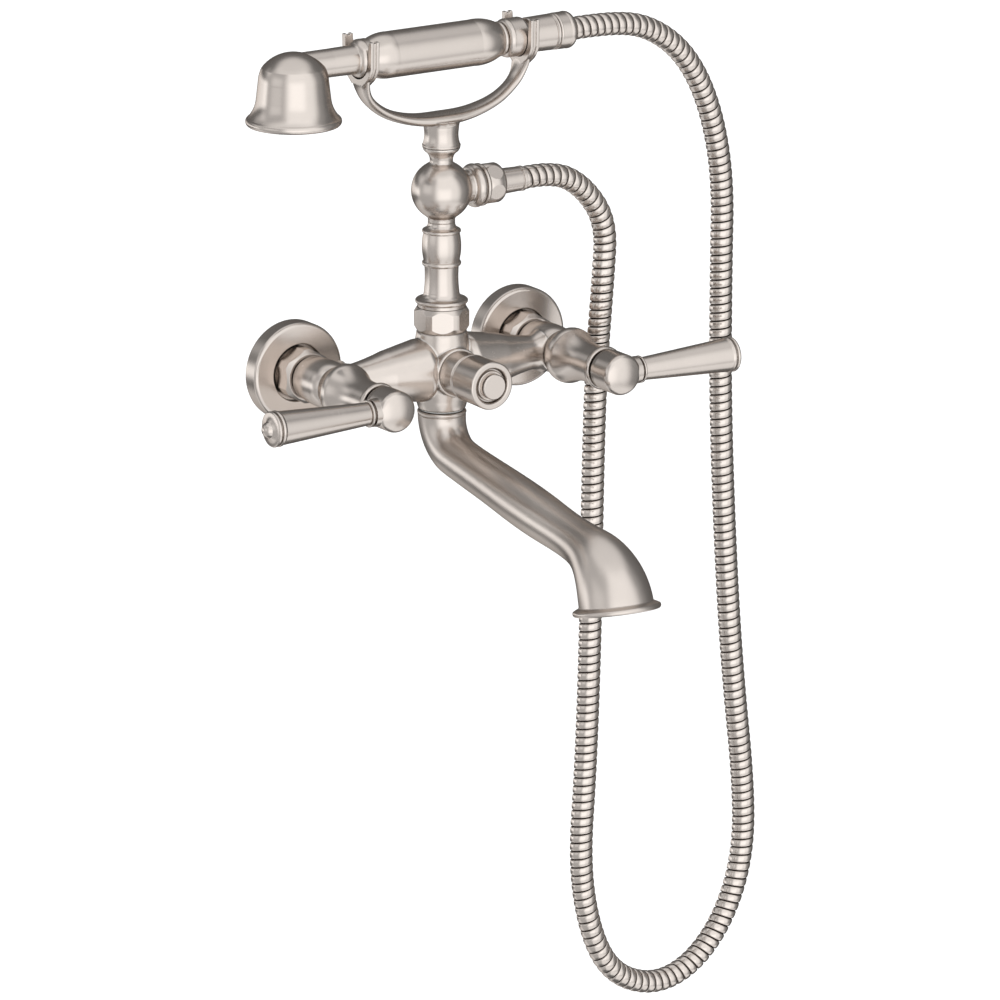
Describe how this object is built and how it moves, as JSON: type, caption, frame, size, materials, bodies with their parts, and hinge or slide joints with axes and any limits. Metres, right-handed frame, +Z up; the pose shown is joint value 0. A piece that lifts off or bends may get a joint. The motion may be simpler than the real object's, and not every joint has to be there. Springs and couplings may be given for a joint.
{
  "type": "wall mounted bath faucet",
  "caption": "Wall mounted bath faucet with lever handles, a swivelling swan-neck spout, a pull-out diverter knob and a hand shower that rests in a cradle above it on a metal hose.",
  "frame": {"origin": "on the wall's surface, half way between the axes of the two supply pipes", "axes": "+X to the right along the wall, +Y into the wall, +Z up; the object stands out from the wall towards -Y"},
  "size_m": [0.3734, 0.2613, 0.5948],
  "materials": {
    "nickel": "satin brushed nickel plating over brass",
    "hose_metal": "brushed nickel plated metal hose, interlocked spiral",
    "brass": "machined, unplated",
    "steel": "plain stainless steel",
    "ceramic": "lapped white alumina ceramic",
    "rubber": "soft black rubber",
    "white_plastic": "moulded acetal",
    "grey_plastic": "moulded plastic"
  },
  "bodies": {
    "faucet": {"mixer_body": "nickel", "inlet_washers": "rubber", "inlet_nuts": "nickel", "tailpieces": "brass", "cartridges": "brass", "cartridge_seals": "rubber", "fixed_discs": "ceramic", "left_wall_flange": "nickel", "left_inlet_nipple": "brass", "left_bonnet": "nickel", "right_wall_flange": "nickel", "right_inlet_nipple": "brass", "right_bonnet": "nickel", "diverter_sleeve": "nickel", "diverter_spring": "steel", "spout_seals": "rubber", "spout_bush": "white_plastic", "riser_nut": "nickel", "riser_washer": "rubber", "riser_clip": "steel", "riser_column": "nickel", "ball_tee": "nickel", "cradle": "nickel", "outlet_ring": "nickel", "outlet_nut": "nickel", "outlet_washer": "rubber", "lower_ferrule": "nickel", "shower_hose": "hose_metal"},
    "diverter": {"diverter_rod": "brass", "diverter_seal": "rubber", "diverter_knob": "nickel", "knob_button": "nickel"},
    "spout": {"spout": "nickel", "flow_insert": "grey_plastic", "spout_screw": "steel"},
    "handset": {"bell": "nickel", "spray_plate": "grey_plastic", "neck_tube": "nickel", "grip": "nickel", "grip_ring": "nickel", "tail_bead": "nickel", "upper_nut": "nickel", "check_valve": "white_plastic", "upper_ferrule": "nickel"},
    "left_handle": {"left_moving_disc": "ceramic", "left_spindle": "brass", "left_handle_hub": "nickel", "left_set_screw": "steel", "left_lever_collar": "nickel", "left_lever_arm": "nickel", "left_lever_stud": "steel", "left_lever_finial": "nickel"},
    "right_handle": {"right_moving_disc": "ceramic", "right_spindle": "brass", "right_handle_hub": "nickel", "right_set_screw": "steel", "right_lever_collar": "nickel", "right_lever_arm": "nickel", "right_lever_stud": "steel", "right_lever_finial": "nickel"}
  },
  "joints": [
    {"name": "left_handle_turn", "type": "hinge", "parent": "faucet", "child": "left_handle", "pos_m": [-0.075, -0.1, 0], "axis": [0, 1, 0], "range_deg": [0, 90]},
    {"name": "right_handle_turn", "type": "hinge", "parent": "faucet", "child": "right_handle", "pos_m": [0.075, -0.1, 0], "axis": [0, -1, 0], "range_deg": [0, 90]},
    {"name": "diverter_pull", "type": "slide", "parent": "faucet", "child": "diverter", "axis": [0, -1, 0], "range_m": [0, 0.006], "stiffness_N_per_m": 600, "springref_m": -0.004, "deforming": ["diverter_spring"]},
    {"name": "spout_swivel", "type": "hinge", "parent": "faucet", "child": "spout", "pos_m": [0, -0.0421, -0.03], "axis": [0, 0, 1], "range_deg": [-45, 45]},
    {"name": "handset_lift", "type": "slide", "parent": "faucet", "child": "handset", "axis": [0, 0, 1], "range_m": [0, 0.032]}
  ]
}
